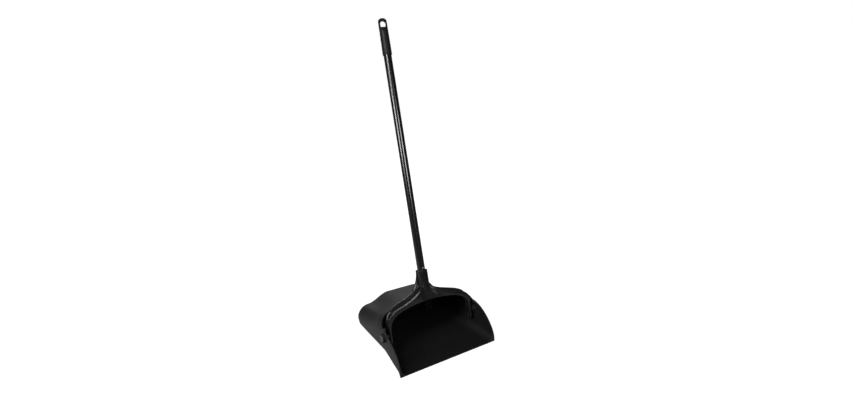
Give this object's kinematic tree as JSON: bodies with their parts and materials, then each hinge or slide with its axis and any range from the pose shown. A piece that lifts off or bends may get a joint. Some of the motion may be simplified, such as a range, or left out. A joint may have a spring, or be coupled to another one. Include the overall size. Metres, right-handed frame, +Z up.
{
  "type": "lobby dustpan",
  "caption": "Upright lobby dustpan with a hooded, flared pan on rear wheels and a long coated handle that swings on a yoke pinned to the sides.",
  "frame": {"origin": "on the ground, at the middle of the flat land under the lip", "axes": "+X to the right seen from the front, across the pan; +Y from the lip to the rear; +Z up"},
  "size_m": [0.3278, 0.3449, 0.9303],
  "materials": {
    "pan": "satin moulded, fine grain",
    "yoke": "half gloss",
    "pin": "half gloss",
    "tube": "drawn tube",
    "jacket": "glossy vinyl coat",
    "rivet": "bright",
    "grip": "satin moulded",
    "wheel": "moulded, worn tread",
    "axle": "plain wire"
  },
  "bodies": {
    "pan_body": {"pan": "pan", "axle_left": "axle", "axle_right": "axle"},
    "handle_body": {"yoke": "yoke", "pivot_pin_left": "pin", "pivot_pin_right": "pin", "handle_tube": "tube", "handle_jacket": "jacket", "handle_rivet": "rivet", "hang_grip": "grip"},
    "wheel_left_body": {"wheel_left": "wheel"},
    "wheel_right_body": {"wheel_right": "wheel"}
  },
  "joints": [
    {"name": "handle_swing", "type": "hinge", "parent": "pan_body", "child": "handle_body", "pos_m": [0, 0.085, 0.068], "axis": [1, 0, 0], "range_deg": [0, 95]},
    {"name": "wheel_left_spin", "type": "hinge", "parent": "pan_body", "child": "wheel_left_body", "pos_m": [-0.102, 0.287, 0.017], "axis": [1, 0, 0], "continuous": true},
    {"name": "wheel_right_spin", "type": "hinge", "parent": "pan_body", "child": "wheel_right_body", "pos_m": [0.102, 0.287, 0.017], "axis": [1, 0, 0], "continuous": true}
  ]
}
